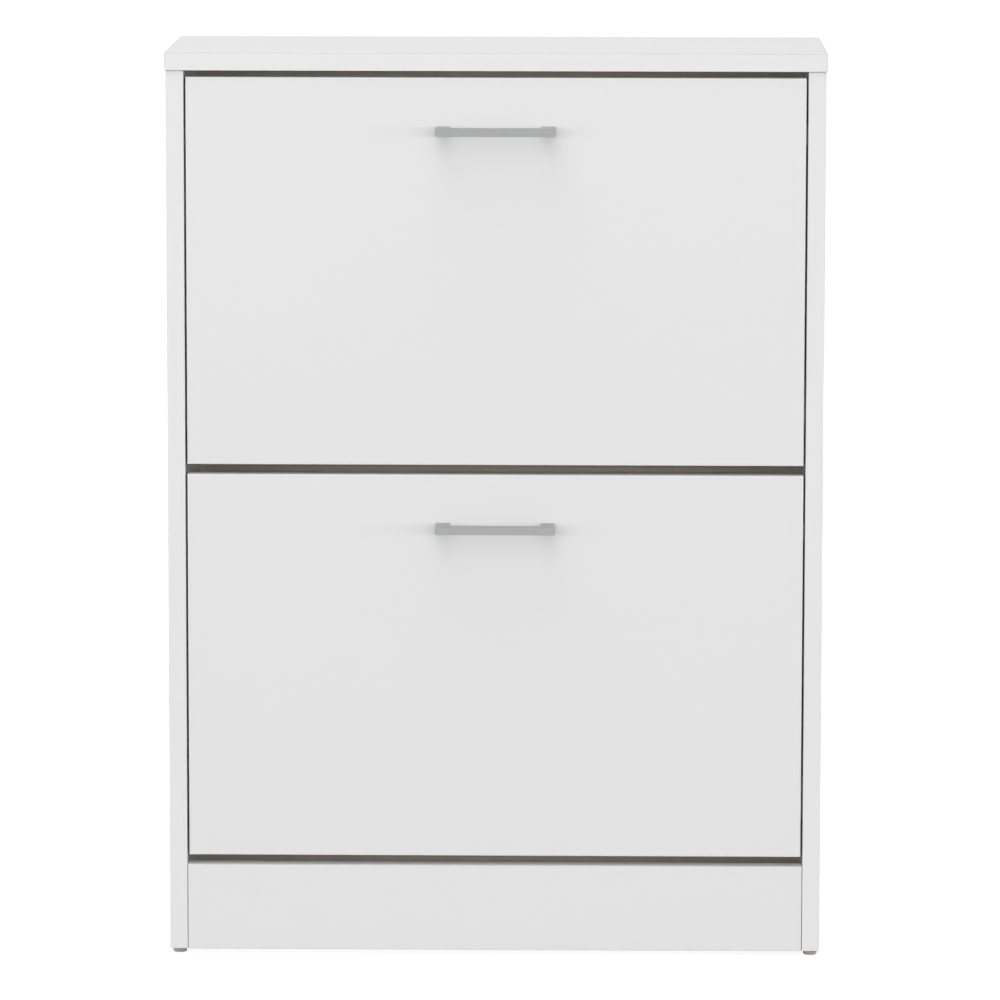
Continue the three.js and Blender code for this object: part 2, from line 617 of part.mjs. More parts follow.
// A moulded side: plate, front flange and a pair of ribs for the end of each board
function rackPlate(group, level, side, sign) {
  const outer = sign * RACK_OUTER_X;
  const inner = sign * RACK_INNER_X;
  const rearAt = (height) => depthAt(RACK_BOARDS.rear_board, height) + RACK_REAR_MARGIN;
  const outline = [
    [RACK_FRONT, RACK_LOWER_EDGE],
    [rearAt(RACK_LOWER_EDGE), RACK_LOWER_EDGE],
    [rearAt(RACK_REAR_TOP), RACK_REAR_TOP],
    [RACK_FRONT, RACK_FRONT_TOP],
  ];
  const root = inner + sign * OVERRUN;
  const flangeX = [root, inner - sign * FLANGE_WIDTH];
  const flangeZ = [RACK_LOWER_EDGE + PLATE_CORNER, RACK_FRONT_TOP - PLATE_CORNER];
  const ribX = [root, inner - sign * RIB_DEPTH];
  const ribOffset = RACK_BOARD / 2 + GAP + RIB_THICKNESS / 2;
  const ribs = Object.values(RACK_BOARDS).flatMap((line) =>
    [-ribOffset, ribOffset].map((offset) => alongBoard(line, ribX, RIB_THICKNESS, offset)));
  const plate = joined([
    profileX(roundedPolygon(outline, PLATE_CORNER), inner, outer),
    box(flangeX, [RACK_FRONT, RACK_FRONT + FLANGE_THICKNESS], flangeZ),
    ...ribs,
  ]);
  const boardX = [0, inner - sign * BOARD_CLEARANCE];
  const boardSpaces = Object.values(RACK_BOARDS).map((line) =>
    alongBoard(line, boardX, RACK_BOARD + 2 * GAP, 0, GAP));
  const holeY = [0, RACK_FRONT + FLANGE_THICKNESS + OVERRUN];
  const screwHoles = Object.values(PLATE_SCREW_HEIGHTS).map((height) =>
    cylinderY(SCREW_RADIUS + GAP, sign * FLANGE_CENTRE_X, holeY, height));
  const pivotX = [inner - sign * OVERRUN, outer + sign * OVERRUN];
  const pivotHole = cylinderX(PIVOT_PIN_RADIUS + GAP, pivotX, PIVOT_DEPTH, PIVOT_HEIGHT);
  const cuts = [...rackWindows(), guideSlot(), pivotHole, ...boardSpaces, ...screwHoles];
  place(group, `${level}_${side}_rack_plate`, cut(plate, cuts), PALE_PLASTIC);
}

function flap(level, height) {
  const group = new THREE.Group();
  group.name = `${level}_flap`;
  group.position.set(0, FLAP_RECESS, height);
  flapPanel(group, level);
  handle(group, level);
  screws(group, level);
  rackBoards(group, level);
  for (const [side, sign] of Object.entries(SIDES)) rackPlate(group, level, side, sign);
  return group;
}

// ---- The cabinet ----

const cabinet = new THREE.Group();
cabinet.name = "shoe_cabinet";
cabinet.position.y = FRONT_Y;
cabinet.add(carcass());
for (const [level, height] of Object.entries(FLAP_LEVELS)) cabinet.add(flap(level, height));

export default cabinet;
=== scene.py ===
"""The white two-flap shoe cabinet: its finished pieces and a studio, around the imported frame.

Lengths are in metres, in the frame's axes: +Z up, the flaps face -Y, +X to the right.
"""

import math

import bmesh
import bpy
from mathutils import Matrix, Vector


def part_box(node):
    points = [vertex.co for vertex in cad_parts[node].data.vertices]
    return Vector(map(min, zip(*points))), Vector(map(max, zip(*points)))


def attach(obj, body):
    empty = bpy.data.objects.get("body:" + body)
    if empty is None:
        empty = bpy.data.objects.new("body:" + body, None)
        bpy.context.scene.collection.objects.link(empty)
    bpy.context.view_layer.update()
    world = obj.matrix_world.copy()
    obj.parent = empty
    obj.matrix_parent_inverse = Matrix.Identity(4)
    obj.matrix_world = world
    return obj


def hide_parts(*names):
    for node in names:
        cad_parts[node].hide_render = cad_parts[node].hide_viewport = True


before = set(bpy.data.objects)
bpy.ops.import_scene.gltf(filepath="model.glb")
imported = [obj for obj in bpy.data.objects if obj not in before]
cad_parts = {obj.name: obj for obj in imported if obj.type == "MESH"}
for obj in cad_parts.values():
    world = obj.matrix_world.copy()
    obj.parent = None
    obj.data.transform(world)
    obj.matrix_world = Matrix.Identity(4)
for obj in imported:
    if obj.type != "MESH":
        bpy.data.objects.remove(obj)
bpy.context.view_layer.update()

MM = 0.001
AXIS = {"x": 0, "y": 1, "z": 2}
LEVELS = ("lower", "upper")
SIDES = {"left": -1, "right": 1}

# The gap that pieces which touch keep between them
GAP = 0.3 * MM

# Boards: edge bands, softened edges, grooves and cam pockets
BAND = 0.45 * MM
BAND_RADIUS = 0.25 * MM
CORE_EDGE = 0.2 * MM
FLAP_RADIUS = 1.1 * MM
FLAP_TRIM = 0.35 * MM
GROOVE_DEPTH = 6 * MM
POCKET_DEPTH = 12.5 * MM

# The back panel joiner's lips at their thin end
JOINER_LIP = 0.35 * MM

# Handles
HANDLE_FOOT = 13 * MM
HANDLE_BAR_DEPTH = 9.5 * MM
HANDLE_INNER_RADIUS = 4 * MM
HANDLE_OUTER_RADIUS = 1.2 * MM
HANDLE_EDGE = 0.55 * MM

# Glides
GLIDE_CHAMFER = 0.9 * MM
GLIDE_PEG_RADIUS = 2 * MM

# The flaps' screws; their crosses start at one turn and go on by the other, in degrees
SCREW_HEAD = 2.4 * MM
THREAD_PITCH = 1.4 * MM
FIRST_TURN = 17
NEXT_TURN = 31

# The flap stops' screws; their crosses' turn is in radians
STOP_SCREW_RADIUS = 3.2 * MM
STOP_SCREW_HEAD = 1.6 * MM
STOP_SCREW_LENGTH = 12 * MM
STOP_SCREW_TURN = 0.6

# Cross recesses: how much they narrow towards their bottom, and where their cutter ends above the top
RECESS_TAPER = 0.55
RECESS_RISE = 0.2 * MM

# Cams: the rim over the pocket's edge, the face's hollow, and the recess
CAM_RIM = 0.9 * MM
CAM_DISH = 0.1 * MM
CAM_RECESS = 3.2 * MM

# The turn that the cams are tightened to, give or take the spread, in degrees
CAM_TURN = 90
CAM_SPREAD = 12

# Rounding of the carried-over plastic parts
PLATE_EDGE = 0.3 * MM
BRACKET_EDGE = 0.4 * MM
STOP_EDGE = 0.5 * MM

# The camera's place, its turns in degrees, and its focal length in millimetres on a 36 mm sensor
CAMERA_PLACE = Vector((0.0888, -5.8, 1.2165))
CAMERA_YAW = 0.849
CAMERA_PITCH = 7.907
CAMERA_ROLL = 0.089
CAMERA_LENS = 225.9
SENSOR_WIDTH = 36

# What the lamps aim at
MIDDLE = Vector((0, -0.1, 0.45))

# A sun seen over a wide angle, in degrees, from in front and a little above
KEY_FROM = Vector((-0.5, -6.4, 3.0))
KEY_STRENGTH = 0.83
KEY_ANGLE = 66

# Long flat lamps about level with the camera, whose light reaches through the gaps: x, length, power
STRIP_LAMPS = (
    ("front_strip", 0.04, 24.0, 260),
    ("right_strip", 15.0, 3.0, 180),
    ("left_strip", -15.0, 3.0, 90),
)
STRIP_Y = -5.95
STRIP_Z = 1.24
STRIP_HEIGHT = 0.2

# A lamp above the cabinet
OVERHEAD_PLACE = (-0.35, -0.65, 2.8)
OVERHEAD_POWER = 12.6
OVERHEAD_SIZE = 1.2

# Lamps that lift the sides and the rear: place and power
FILL_SIZE = 1.6
FILL_LAMPS = (
    ("left_fill", (-4.5, 0.9, 0.9), 42),
    ("right_fill", (4.5, 0.9, 0.9), 36),
    ("rear_fill", (0.8, 4.5, 0.9), 60),
)

# The sky's strength
SKY = 0.485

# The floor that is seen, and a hidden one a little lower, whose bounced light reaches the cabinet
STAGE_SIZE = 30
FLOOR_GLOW = 0.93
FLOOR_GREY = 0.2
BOUNCE_GREY = 0.33
BOUNCE_DROP = 2 * MM

# The floor inside the cabinet: how far it keeps behind the plinth and above the floor, and its grey
SHADE_INSET = 9 * MM
SHADE_HEIGHT = 0.2 * MM
SHADE_GREY = 0.7


# ---- Materials ----


class Shader:
    """A node tree being built around one Principled shader. Textures' scales are per metre."""

    def __init__(self, name, roughness, metallic=0.0, colour=(0.8, 0.8, 0.8), specular=0.5):
        self.material = bpy.data.materials.new(name)
        self.material.use_nodes = True
        self.tree = self.material.node_tree
        self.shader = self.tree.nodes["Principled BSDF"]
        self.shader.inputs["Base Color"].default_value = (*colour, 1)
        self.shader.inputs["Roughness"].default_value = roughness
        self.shader.inputs["Metallic"].default_value = metallic
        self.shader.inputs["Specular IOR Level"].default_value = specular
        self.material.diffuse_color = (*colour, 1)
        self.place = self.tree.nodes.new("ShaderNodeTexCoord").outputs["Object"]

    def link(self, source, target):
        self.tree.links.new(source, target)

    def stretched(self, scale):
        """Object coordinates multiplied along each axis."""
        node = self.tree.nodes.new("ShaderNodeMapping")
        node.inputs["Scale"].default_value = scale
        self.link(self.place, node.inputs["Vector"])
        return node.outputs["Vector"]

    def noise(self, scale, detail=3.0, roughness=0.5, place=None):
        node = self.tree.nodes.new("ShaderNodeTexNoise")
        node.inputs["Scale"].default_value = scale
        node.inputs["Detail"].default_value = detail
        node.inputs["Roughness"].default_value = roughness
        self.link(place or self.place, node.inputs["Vector"])
        return node.outputs["Fac"]

    def cells(self, scale, place):
        node = self.tree.nodes.new("ShaderNodeTexVoronoi")
        node.inputs["Scale"].default_value = scale
        self.link(place, node.inputs["Vector"])
        return node.outputs["Color"]

    def ramp(self, value, stops):
        node = self.tree.nodes.new("ShaderNodeValToRGB")
        elements = node.color_ramp.elements
        while len(elements) < len(stops):
            elements.new(0.5)
        for element, (position, colour) in zip(elements, stops):
            element.position = position
            element.color = (*colour, 1)
        self.link(value, node.inputs["Fac"])
        return node.outputs["Color"]

    def multiply(self, a, b):
        node = self.tree.nodes.new("ShaderNodeMix")
        node.data_type = "RGBA"
        node.blend_type = "MULTIPLY"
        node.inputs["Factor"].default_value = 1
        self.link(a, node.inputs[6])
        self.link(b, node.inputs[7])
        return node.outputs[2]

    def spread(self, value, low, high):
        """A 0 to 1 value mapped to low to high."""
        node = self.tree.nodes.new("ShaderNodeMapRange")
        node.inputs["To Min"].default_value = low
        node.inputs["To Max"].default_value = high
        self.link(value, node.inputs["Value"])
        return node.outputs["Result"]

    def colour(self, source):
        self.link(source, self.shader.inputs["Base Color"])

    def roughness(self, source):
        self.link(source, self.shader.inputs["Roughness"])

    def bump(self, height, strength, distance):
        node = self.tree.nodes.new("ShaderNodeBump")
        node.inputs["Strength"].default_value = strength
        node.inputs["Distance"].default_value = distance
        self.link(height, node.inputs["Height"])
        self.link(node.outputs["Normal"], self.shader.inputs["Normal"])


def grey(level, warmth=0.0):
    """A near-neutral colour, warmer as warmth rises."""
    return (level * (1 + warmth), level, level * (1 - warmth))


def melamine(name, level, roughness, warmth=0.0):
    """Melamine-faced board: even white, faint clouding, and the press plate's fine pearl."""
    s = Shader(name, roughness, colour=grey(level, warmth))
    clouds = s.noise(2.2, detail=2.0)
    s.colour(s.ramp(clouds, [(0.3, grey(level * 0.992, warmth)), (0.7, grey(level, warmth))]))
    pearl = s.noise(1400, detail=2.0, roughness=0.6)
    s.roughness(s.spread(s.noise(9, detail=4.0), roughness - 0.04, roughness + 0.05))
    s.bump(pearl, 0.12, 0.05 * MM)
    return s.material


def edge_band(name, level, roughness):
    """Plastic edge band: a little paler and duller than the face, and faintly uneven. The paleness is
    partly the band's own tint and partly painted light, which brightens the band strips seen inside the
    shaded gaps between the flaps.
    """
    s = Shader(name, roughness, colour=grey(level), specular=0.15)
    s.colour(s.ramp(s.noise(5, detail=1.0), [(0.35, grey(level * 0.99)), (0.65, grey(level))]))
    s.bump(s.noise(420, detail=1.0), 0.06, 0.05 * MM)
    return s.material


def edge_trim():
    """Where the band was scraped flush: duller and a little darker than the board."""
    s = Shader("edge_trim", 0.6, colour=grey(0.5, 0.02))
    s.colour(s.ramp(s.noise(160, detail=3.0), [(0.3, grey(0.44, 0.03)), (0.7, grey(0.56, 0.01))]))
    return s.material


def glue_line():
    """The fine line of set glue between a band and the board's face."""
    s = Shader("glue_line", 0.5, colour=(0.24, 0.225, 0.2))
    s.colour(s.ramp(s.noise(90, detail=2.0), [(0.3, (0.2, 0.185, 0.165)), (0.7, (0.28, 0.265, 0.24))]))
    return s.material


def chipboard():
    """Raw particle board on the edges that have no band."""
    s = Shader("chipboard", 0.85, colour=(0.42, 0.29, 0.17), specular=0.2)
    chips = s.ramp(
        s.cells(520, s.stretched((1, 1, 1.6))),
        [(0.1, (0.22, 0.13, 0.07)), (0.45, (0.43, 0.29, 0.16)), (0.8, (0.6, 0.44, 0.27))],
    )
    dust = s.ramp(s.noise(240, detail=6.0, roughness=0.7), [(0.3, grey(0.62, 0.04)), (0.7, grey(1.0))])
    s.colour(s.multiply(chips, dust))
    s.bump(s.noise(700, detail=4.0, roughness=0.7), 0.5, 0.25 * MM)
    return s.material


def hardboard_face():
    """The back panel's painted inner face."""
    s = Shader("hardboard_face", 0.55, colour=(0.65, 0.573, 0.488))
    s.colour(s.ramp(s.noise(14, detail=4.0), [(0.3, (0.62, 0.545, 0.462)), (0.7, (0.66, 0.583, 0.498))]))
    s.bump(s.noise(500, detail=3.0), 0.1, 0.1 * MM)
    return s.material


def hardboard_raw():
    """The back panel's outer face: pressed brown fibre, mottled."""
    s = Shader("hardboard_raw", 0.7, colour=(0.30, 0.19, 0.11), specular=0.3)
    fibre = s.ramp(
        s.noise(160, detail=8.0, roughness=0.72, place=s.stretched((1, 1, 2.4))),
        [(0.3, (0.235, 0.14, 0.075)), (0.5, (0.31, 0.195, 0.11)), (0.75, (0.4, 0.265, 0.16))],
    )
    patches = s.ramp(s.noise(5, detail=3.0), [(0.25, grey(0.84, 0.02)), (0.75, grey(1.0))])
    s.colour(s.multiply(fibre, patches))
    s.bump(s.noise(650, detail=5.0, roughness=0.65), 0.35, 0.15 * MM)
    return s.material


def satin_metal():
    """The handle: silver satin finish, very finely brushed along its length."""
    s = Shader("satin_silver", 0.36, metallic=0.85, colour=(0.385, 0.39, 0.403))
    brush = s.noise(1, detail=4.0, roughness=0.6, place=s.stretched((60, 2600, 2600)))
    s.colour(s.ramp(brush, [(0.3, (0.372, 0.377, 0.39)), (0.7, (0.398, 0.403, 0.416))]))
    s.roughness(s.spread(brush, 0.31, 0.42))
    s.bump(brush, 0.05, 0.03 * MM)
    return s.material


def zinc(name, level, roughness):
    """Zinc-plated fasteners, lightly mottled."""
    s = Shader(name, roughness, metallic=1.0, colour=grey(level, 0.02))
    s.colour(s.ramp(s.noise(330, detail=4.0), [(0.3, grey(level * 0.86, 0.03)), (0.7, grey(level, 0.02))]))
    s.roughness(s.spread(s.noise(800, detail=3.0), roughness - 0.06, roughness + 0.12))
    return s.material


def moulded(name, colour, roughness, grain=0.25):
    """Injection-moulded plastic with a spark-eroded grain."""
    s = Shader(name, roughness, colour=colour)
    darker = tuple(0.95 * c for c in colour)
    s.colour(s.ramp(s.noise(30, detail=3.0), [(0.3, darker), (0.7, colour)]))
    s.roughness(s.spread(s.noise(120, detail=2.0), roughness - 0.04, roughness + 0.06))
    s.bump(s.noise(2200, detail=2.0), grain, 0.04 * MM)
    return s.material


MATERIAL = {
    "white": melamine("white_melamine", 0.78, 0.36),
    "rack": melamine("rack_melamine", 0.72, 0.42, warmth=0.006),
    # The band's level sits a little above the face's: partly its own tint, partly painted light on the
    # band strips in the shaded gaps
    "band": edge_band("edge_band", 0.81, 0.5),
    "trim": edge_trim(),
    "glue": glue_line(),
    "chip": chipboard(),
    "back_face": hardboard_face(),
    "back_raw": hardboard_raw(),
    "handle": satin_metal(),
    "zinc": zinc("zinc_plate", 0.46, 0.34),
    "fitting": moulded("pale_plastic", (0.74, 0.735, 0.71), 0.42),
    "joiner": moulded("joiner_plastic", (0.74, 0.74, 0.73), 0.35, grain=0.08),
    "glide": moulded("taupe_plastic", (0.46, 0.415, 0.365), 0.5),
}


# ---- Mesh helpers ----


def mesh_object(name, bm, materials, smooth=None):
    """A new object at the origin from a bmesh; smooth is the angle above which edges stay sharp."""
    bmesh.ops.recalc_face_normals(bm, faces=bm.faces)
    mesh = bpy.data.meshes.new(name)
    bm.to_mesh(mesh)
    bm.free()
    for key in materials:
        mesh.materials.append(MATERIAL[key])
    if smooth is not None:
        mesh.shade_smooth()
        mesh.set_sharp_from_angle(angle=smooth)
    obj = bpy.data.objects.new(name, mesh)
    bpy.context.scene.collection.objects.link(obj)
    return obj


def weigh_normals(obj):
    modifier = obj.modifiers.new("weighted_normals", "WEIGHTED_NORMAL")
    modifier.keep_sharp = True
    modifier.weight = 80


def add_box(bm, low, high, material=0):
    """A closed box; returns its vertices."""
    corners = [
        bm.verts.new((x, y, z))
        for z in (low[2], high[2])
        for y in (low[1], high[1])
        for x in (low[0], high[0])
    ]
    for face in ((0, 2, 3, 1), (4, 5, 7, 6), (0, 1, 5, 4), (2, 6, 7, 3), (0, 4, 6, 2), (1, 3, 7, 5)):
        bm.faces.new([corners[i] for i in face]).material_index = material
    return corners


def add_prism(bm, outline, low, high, end_scale=1.0):
    """A polygon in XY made solid from z low to z high; the low end may be smaller."""
    bottom = [bm.verts.new((x * end_scale, y * end_scale, low)) for x, y in outline]
    top = [bm.verts.new((x, y, high)) for x, y in outline]
    bm.faces.new(bottom[::-1])
    bm.faces.new(top)
    for i in range(len(outline)):
        j = (i + 1) % len(outline)
        bm.faces.new((bottom[i], bottom[j], top[j], top[i]))
    return bottom + top


def add_lathe(bm, profile, segments=48, material=0):
    """A profile of (radius, z) from axis to axis turned about Z; returns its vertices."""
    rings = []
    for radius, z in profile:
        count = 1 if radius == 0 else segments
        turns = [2 * math.pi * k / segments for k in range(count)]
        rings.append([bm.verts.new((radius * math.cos(t), radius * math.sin(t), z)) for t in turns])
    for a, b in zip(rings, rings[1:]):
        for k in range(segments):
            n = (k + 1) % segments
            corners = [a[k % len(a)], a[n % len(a)], b[n % len(b)], b[k % len(b)]]
            bm.faces.new(list(dict.fromkeys(corners))).material_index = material
    return [v for ring in rings for v in ring]


def arc(centre, radius, start, end, steps):
    """Points on an arc, both ends included; angles in degrees."""
    turns = [math.radians(start + (end - start) * k / steps) for k in range(steps + 1)]
    return [(centre[0] + radius * math.cos(t), centre[1] + radius * math.sin(t)) for t in turns]


def bevel(bm, edges, width, segments=3, material=-1):
    bmesh.ops.bevel(
        bm,
        geom=list(edges),
        offset=width,
        segments=segments,
        profile=0.5,
        affect="EDGES",
        clamp_overlap=True,
        material=material,
    )


def sharp_edges(bm, angle):
    bmesh.ops.recalc_face_normals(bm, faces=bm.faces)
    limit = math.radians(angle)
    return [e for e in bm.edges if len(e.link_faces) == 2 and e.calc_face_angle() > limit]


def cut(obj, cutter):
    """Cuts the cutter's solids out of obj and removes the cutter."""
    modifier = obj.modifiers.new("cut", "BOOLEAN")
    modifier.operation = "DIFFERENCE"
    modifier.solver = "EXACT"
    modifier.object = cutter
    depsgraph = bpy.context.evaluated_depsgraph_get()
    mesh = bpy.data.meshes.new_from_object(obj.evaluated_get(depsgraph))
    obj.modifiers.clear()
    old, obj.data = obj.data, mesh
    mesh.name = obj.name
    bpy.data.meshes.remove(old)
    bpy.data.objects.remove(cutter)


def centre_of(node):
    low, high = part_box(node)
    return (low + high) / 2


def add_copy(name, mesh, place):
    """One more object that shows a shared mesh."""
    obj = bpy.data.objects.new(name, mesh)
    bpy.context.scene.collection.objects.link(obj)
    obj.matrix_world = place
    return obj


def finish_piece(obj, body, node=None):
    """Rides a piece on its body, in place of a frame node if it has one."""
    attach(obj, body)
    if node is not None:
        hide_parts(node)


# ---- Boards ----


def plane_of(side):
    """Axis number and sign of a side such as "-y"."""
    return AXIS[side[1]], (1 if side[0] == "+" else -1)


def banded_boxes(low, high, banded):
    """Cuts a strip of band thickness off each banded side in turn; returns the core and the strips."""
    low, high = Vector(low), Vector(high)
    strips = []
    for side in banded:
        axis, sign = plane_of(side)
        strip_low, strip_high = low.copy(), high.copy()
        if sign > 0:
            strip_low[axis] = high[axis] = high[axis] - BAND
        else:
            strip_high[axis] = low[axis] = low[axis] + BAND
        strips.append((side, strip_low, strip_high))
    return (low, high), strips


def core_mesh(low, high, raw):
    """The board between its bands; raw sides show chipboard, and glue lines its edges."""
    bm = bmesh.new()
    add_box(bm, low, high)
    bevel(bm, bm.edges, CORE_EDGE, segments=1, material=2)
    bmesh.ops.recalc_face_normals(bm, faces=bm.faces)
    for f in bm.faces:
        for side in raw:
            axis, sign = plane_of(side)
            if f.normal[axis] * sign > 0.9:
                f.material_index = 1
    return bm


def band_mesh(strips):
    """All of a board's bands: the outer long edges are scraped round."""
    bm = bmesh.new()
    outer = []
    for side, low, high in strips:
        axis, sign = plane_of(side)
        plane = high[axis] if sign > 0 else low[axis]
        on_plane = {v for v in add_box(bm, low, high) if abs(v.co[axis] - plane) < 1e-7}
        outer += [e for e in bm.edges if all(v in on_plane for v in e.verts)]
    bevel(bm, outer, BAND_RADIUS, segments=3, material=1)
    return bm


def board(node, body, banded, raw=(), face="white", cutter=None, place=None, size=None):
    """A board with its bands. In a turned frame, place holds it and size is its extent there."""
    if place is None:
        low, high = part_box(node)
    else:
        low, high = -size / 2, size / 2
    core, strips = banded_boxes(low, high, banded)
    obj = mesh_object(f"{node}_board", core_mesh(*core, raw), (face, "chip", "glue"))
    if cutter is not None:
        cut(obj, cutter)
    pieces = [obj]
    if strips:
        bands = band_mesh(strips)
        pieces.append(mesh_object(f"{node}_edge_bands", bands, ("band", "trim"), math.radians(50)))
        weigh_normals(pieces[-1])
    for piece in pieces:
        if place is not None:
            piece.matrix_world = place
        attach(piece, body)
    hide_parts(node)


def facing_place(centre, facing):
    """The place of something whose own Z axis points along facing."""
    return Matrix.Translation(centre) @ facing.to_track_quat("Z", "Y").to_matrix().to_4x4()


def pocket(bm, cam):
    """A round pocket for a cam lock, a little wider than the cam."""
    centre, facing, radius = cam_place(cam)
    reach = radius + GAP
    profile = [(0, -POCKET_DEPTH), (reach, -POCKET_DEPTH), (reach, MM), (0, MM)]
    verts = add_lathe(bm, profile, material=1)
    bmesh.ops.transform(bm, matrix=facing_place(centre, facing), verts=verts)


def cam_place(node):
    """Centre of a cam's face, the way it faces, and its radius, from the cam lock's box."""
    low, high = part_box(node)
    size = high - low
    side = 1 if centre_of(node).x > 0 else -1
    if size.z > size.x:
        radius = size.y / 2
        face_x = low.x if side > 0 else high.x
        return Vector((face_x, (low.y + high.y) / 2, low.z + radius)), Vector((-side, 0, 0)), radius
    radius = size.z / 2
    x = low.x + radius if side > 0 else high.x - radius
    return Vector((x, high.y, (low.z + high.z) / 2)), Vector((0, 1, 0)), radius


def cutter_for(cams, grooves=()):
    """One cutter for a board: its cam pockets and its grooves."""
    bm = bmesh.new()
    for cam in cams:
        pocket(bm, cam)
    for low, high in grooves:
        add_box(bm, low, high, material=1)
    return mesh_object("cutter", bm, ("white", "chip"))


def groove_for_back(side, sign):
    """The groove in a side panel that holds the back panels."""
    low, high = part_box("upper_back_panel")
    bottom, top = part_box(f"{side}_side_panel")
    inner = min(abs(bottom.x), abs(top.x))
    xs = sorted((sign * (inner - MM), sign * (inner + GROOVE_DEPTH)))
    return (
        (xs[0], low.y - GAP, bottom.z - MM),
        (xs[1], high.y + GAP, top.z + MM),
    )


def carcass_boards():
    """The white boards of the carcass, with their grooves and cam pockets."""
    low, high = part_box("upper_back_panel")
    top_low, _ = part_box("top_panel")
    half = high.x + GAP
    top_groove = (
        (-half, low.y - GAP, top_low.z - MM),
        (half, high.y + GAP, top_low.z + GROOVE_DEPTH),
    )
    board("top_panel", "carcass", ("-y", "-x", "+x"), raw=("+y",), cutter=cutter_for((), [top_groove]))
    for side, sign in SIDES.items():
        cams = [f"top_{end}_{side}_cam_lock" for end in ("front", "rear")]
        cutter = cutter_for(cams, [groove_for_back(side, sign)])
        board(f"{side}_side_panel", "carcass", ("-y",), raw=("+y", "+z", "-z"), cutter=cutter)
    boards = {"plinth_board": ("plinth", ("+z",), ("-z", "-x", "+x"))}
    for rail in ("bottom", "middle", "top"):
        boards[f"{rail}_rear_rail"] = (f"{rail}_rail", (), ("-z", "+z", "-x", "+x"))
    for node, (joint, banded, raw) in boards.items():
        cutter = cutter_for([f"{joint}_{side}_cam_lock" for side in SIDES])
        board(node, "carcass", banded, raw=raw, cutter=cutter)


def back_panel(node):
    """Painted inside, raw fibre outside and on the edges."""
    bm = bmesh.new()
    add_box(bm, *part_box(node))
    bevel(bm, bm.edges, CORE_EDGE, segments=1)
    bmesh.ops.recalc_face_normals(bm, faces=bm.faces)
    for f in bm.faces:
        f.material_index = 0 if f.normal.y < -0.9 else 1
    obj = mesh_object(f"{node}_sheet", bm, ("back_face", "back_raw"))
    finish_piece(obj, "carcass", node)


def joiner():
    """The H profile between the back panels, with lips that thin out towards their edges."""
    low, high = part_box("back_panel_joiner")
    lower_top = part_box("lower_back_panel")[1].z
    upper_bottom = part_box("upper_back_panel")[0].z
    panel_front, panel_rear = (v.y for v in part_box("lower_back_panel"))
    y0, y1 = panel_front - GAP, panel_rear + GAP
    web_low, web_high = lower_top + GAP, upper_bottom - GAP
    front_lip, rear_lip = low.y + JOINER_LIP, high.y - JOINER_LIP
    outline = [
        (low.y, web_low), (front_lip, low.z), (y0, low.z), (y0, web_low),
        (y1, web_low), (y1, low.z), (rear_lip, low.z), (high.y, web_low),
        (high.y, web_high), (rear_lip, high.z), (y1, high.z), (y1, web_high),
        (y0, web_high), (y0, high.z), (front_lip, high.z), (low.y, web_high),
    ]
    bm = bmesh.new()
    verts = add_prism(bm, outline, low.x, high.x)
    along_x = Matrix(((0, 0, 1, 0), (1, 0, 0, 0), (0, 1, 0, 0), (0, 0, 0, 1)))
    bmesh.ops.transform(bm, matrix=along_x, verts=verts)
    obj = mesh_object("back_panel_joiner_profile", bm, ("joiner",))
    finish_piece(obj, "carcass", "back_panel_joiner")


# ---- Fasteners ----


def cross_outline(reach, width):
    """A plus sign, anticlockwise."""
    a, b = width / 2, reach / 2
    quarter = [(b, -a), (b, a), (a, a)]
    turns = [Matrix.Rotation(math.radians(90 * k), 2) for k in range(4)]
    return [tuple(turn @ Vector(point)) for turn in turns for point in quarter]


def cross_cutter(reach, width, top, depth):
    """A tapering cross recess, cut from above the top down to the depth."""
    bm = bmesh.new()
    add_prism(bm, cross_outline(reach, width), top - depth, top + RECESS_RISE, end_scale=RECESS_TAPER)
    return mesh_object("cutter", bm, ("zinc",))


def recessed_mesh(name, bm, cutter, smooth):
    """A zinc-plated mesh with a recess cut in it, for several objects to share."""
    obj = mesh_object(name, bm, ("zinc",), smooth)
    cut(obj, cutter)
    mesh = obj.data
    mesh.shade_smooth()
    mesh.set_sharp_from_angle(angle=smooth)
    bpy.data.objects.remove(obj)
    return mesh


def screw_mesh(head_radius, head_height, shank_radius, length):
    """A pan-head screw along Z: head above the origin, shank below, with a cross recess."""
    dome = [
        (head_radius * math.cos(t), head_height * (0.35 + 0.65 * math.sin(t)))
        for t in [math.radians(10 * k) for k in range(9)]
    ]
    profile = [(0, -length), (shank_radius * 0.6, -length + 2 * MM)]
    for k in range(int((length - 3 * MM) / THREAD_PITCH)):
        z = -length + 2.5 * MM + k * THREAD_PITCH
        profile += [(shank_radius * 0.78, z), (shank_radius, z + THREAD_PITCH / 2)]
    profile += [(shank_radius * 0.8, -GAP), (shank_radius * 0.8, 0)]
    profile += [(head_radius * 0.96, 0), (head_radius, 0.15 * head_height)] + dome + [(0, head_height)]
    bm = bmesh.new()
    add_lathe(bm, profile, segments=40)
    cross = cross_cutter(
        reach=1.15 * head_radius,
        width=0.24 * head_radius,
        top=head_height,
        depth=0.6 * head_height,
    )
    return recessed_mesh("screw", bm, cross, math.radians(40))


